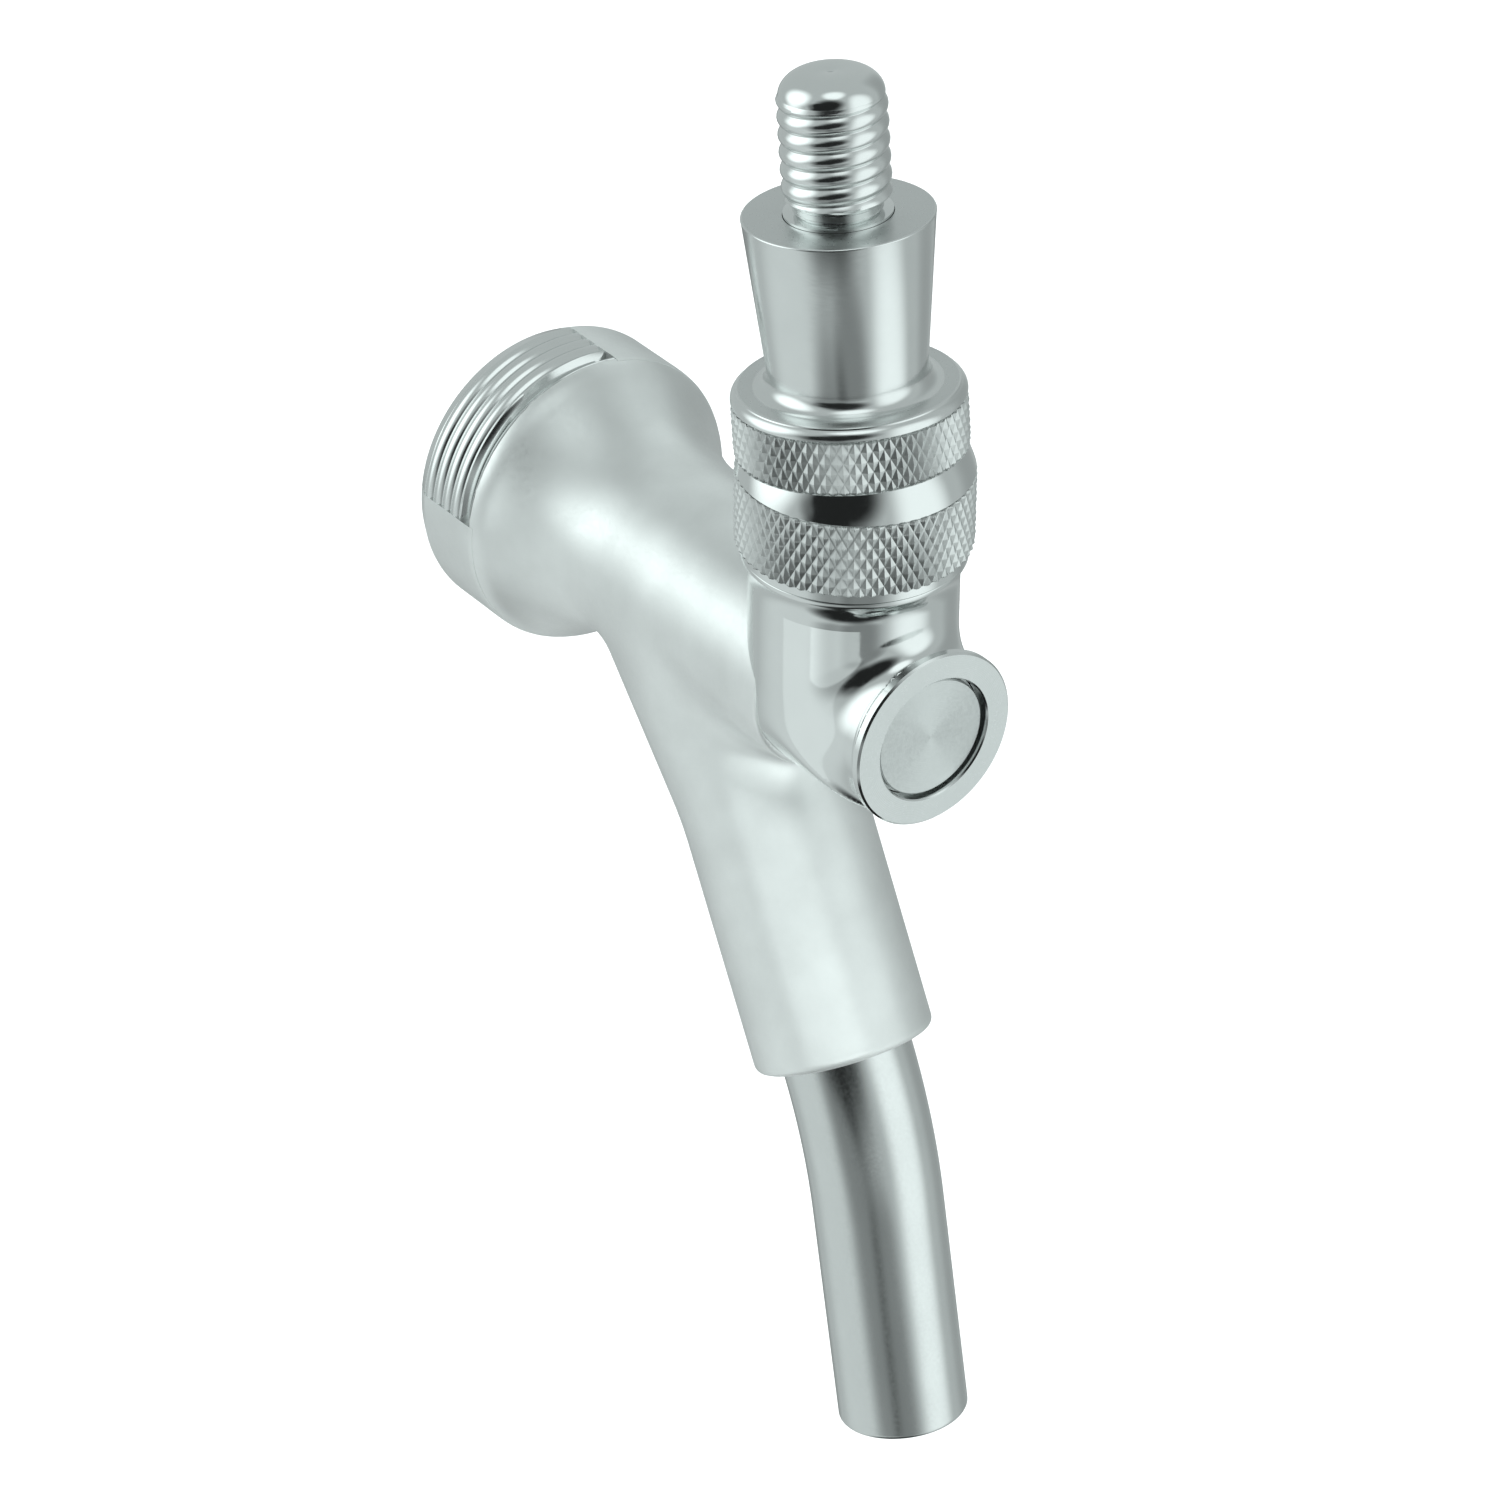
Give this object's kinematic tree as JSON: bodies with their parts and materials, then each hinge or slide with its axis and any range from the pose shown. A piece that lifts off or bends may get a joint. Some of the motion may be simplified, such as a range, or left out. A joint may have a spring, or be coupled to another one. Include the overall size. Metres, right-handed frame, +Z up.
{
  "type": "draft beer faucet",
  "caption": "Stainless draft beer faucet: threaded coupling head, cast body, curved spout and a ball lever that slides the valve shaft.",
  "frame": {"origin": "centre of the rear coupling face, on the shank axis", "axes": "+Y points out of the coupling face towards the wall, +Z up along the valve housing, X across the symmetric body"},
  "size_m": [0.0286, 0.0646, 0.1363],
  "materials": {
    "cast_steel": "satin blasted casting",
    "polished_steel": "polished",
    "plug_steel": "turned face",
    "seat": "smooth",
    "washer": "matte",
    "seal_rubber": "matte"
  },
  "bodies": {
    "faucet": {"body": "cast_steel", "coupling_washer": "washer", "seat_insert": "seat", "spout_tube": "polished_steel", "spout_o_ring_lower": "seal_rubber", "spout_o_ring_upper": "seal_rubber", "bonnet": "polished_steel", "bonnet_washer": "washer", "friction_ring": "seat", "ball_washer": "seat", "lever_o_ring": "seal_rubber", "front_plug": "plug_steel", "plug_o_ring": "seal_rubber"},
    "lever": {"lever": "polished_steel", "lever_collar": "polished_steel"},
    "valve": {"shaft": "polished_steel", "shaft_o_ring_front": "seal_rubber", "shaft_o_ring_rear": "seal_rubber", "valve_seal": "seal_rubber", "seal_cup": "polished_steel", "seal_nut": "polished_steel"}
  },
  "joints": [
    {"name": "lever_hinge", "type": "hinge", "parent": "faucet", "child": "lever", "pos_m": [0, -0.0487, 0.019], "axis": [1, 0, 0], "range_deg": [0, 22]},
    {"name": "valve_slide", "type": "slide", "parent": "faucet", "child": "valve", "axis": [0, 1, 0], "range_m": [0, 0.0073]}
  ],
  "couplings": [
    {"joint": "valve_slide", "follows": "lever_hinge", "m_per_rad": 0.01882}
  ]
}
